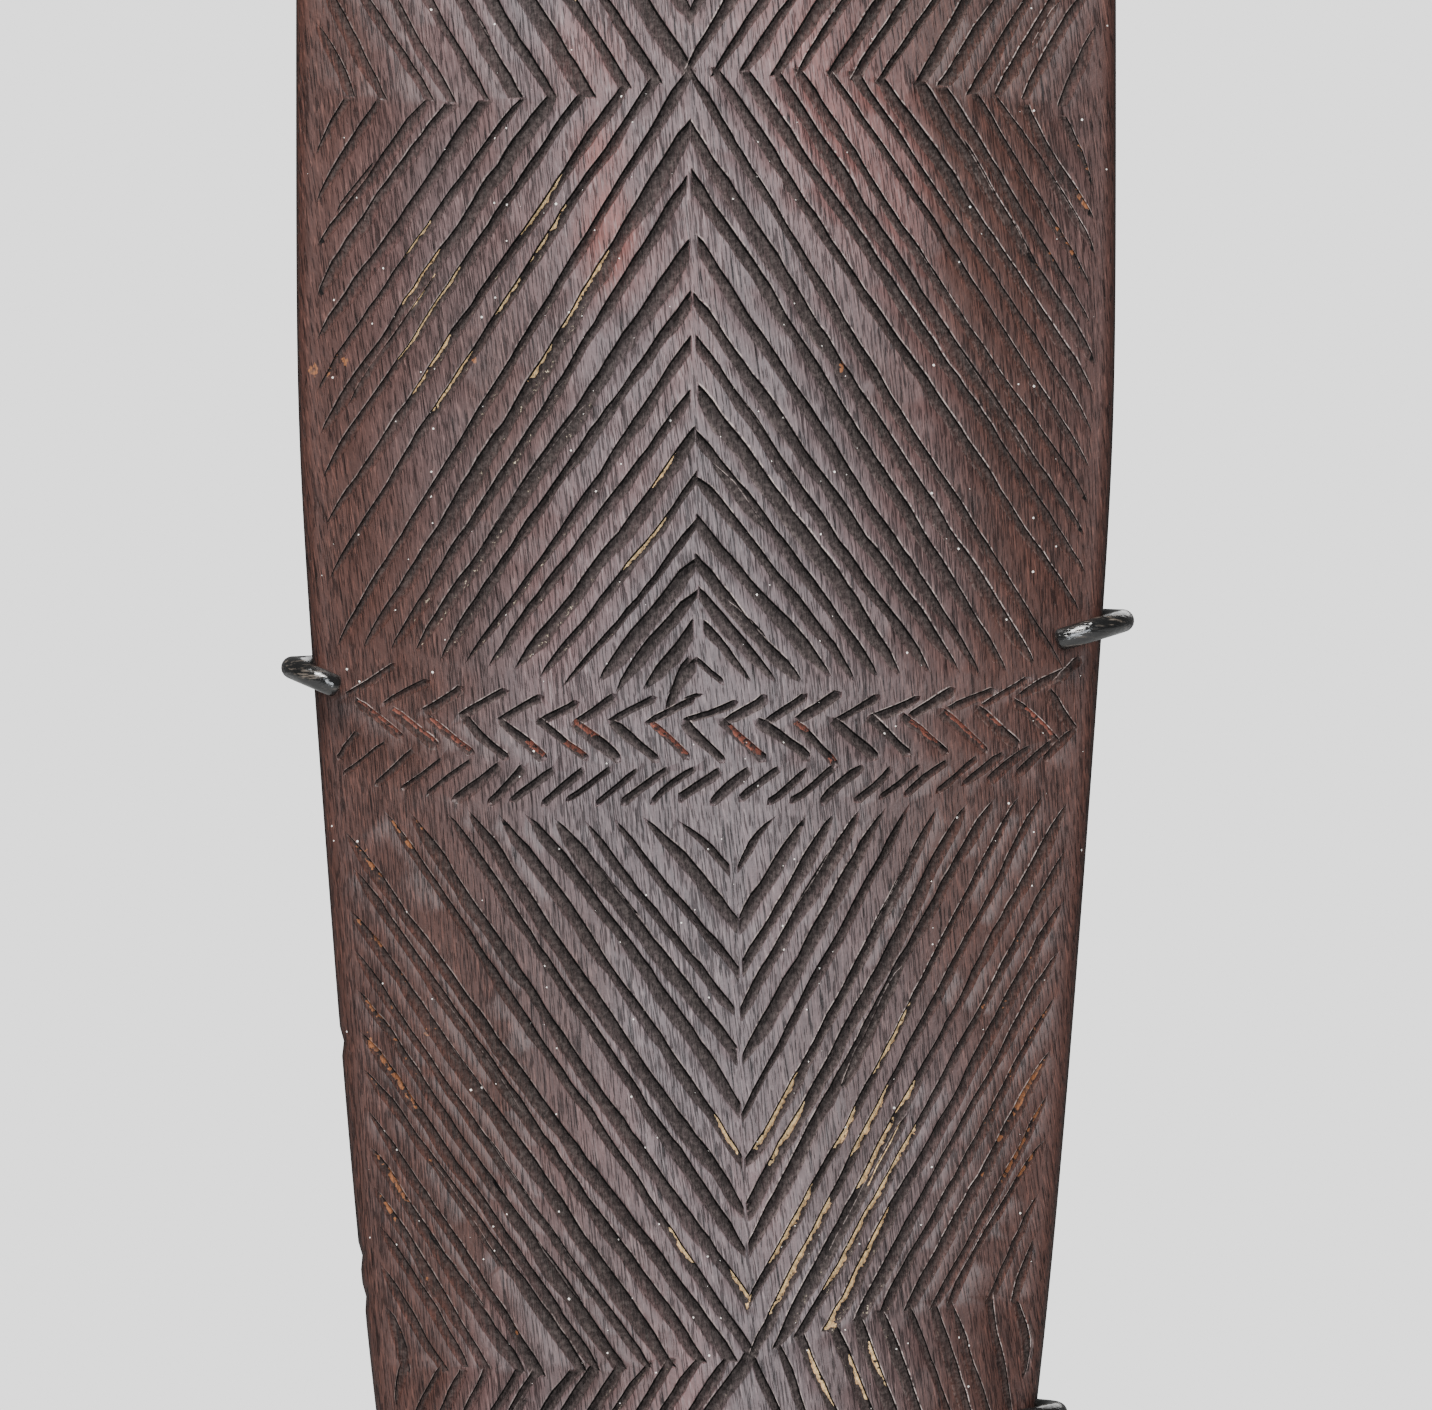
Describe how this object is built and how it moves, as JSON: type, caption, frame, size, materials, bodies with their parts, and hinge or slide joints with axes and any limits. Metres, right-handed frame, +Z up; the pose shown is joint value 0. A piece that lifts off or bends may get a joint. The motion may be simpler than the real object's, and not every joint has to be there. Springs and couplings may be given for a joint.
{
  "type": "parrying_shield",
  "caption": "Long convex hardwood parrying shield with incised chevron fans and a herringbone band, a carved grip behind, held upright by a black two-armed stand",
  "frame": {"origin": "centre of the stand base's underside, which rests on z = 0", "axes": "+Z up along the shield, the carved face looks along -Y, +X to the right seen from the front"},
  "size_m": [0.2, 0.15, 0.91],
  "materials": {
    "carved_wood": "satin, dark aged hardwood with remains of cream and red pigment in the cuts",
    "black_rod": "gloss black",
    "black_plate": "satin black"
  },
  "bodies": {
    "root": {"shield": "carved_wood", "stand_base": "black_plate", "stand_post": "black_rod", "upper_arm": "black_rod", "lower_arm": "black_rod"}
  },
  "joints": []
}
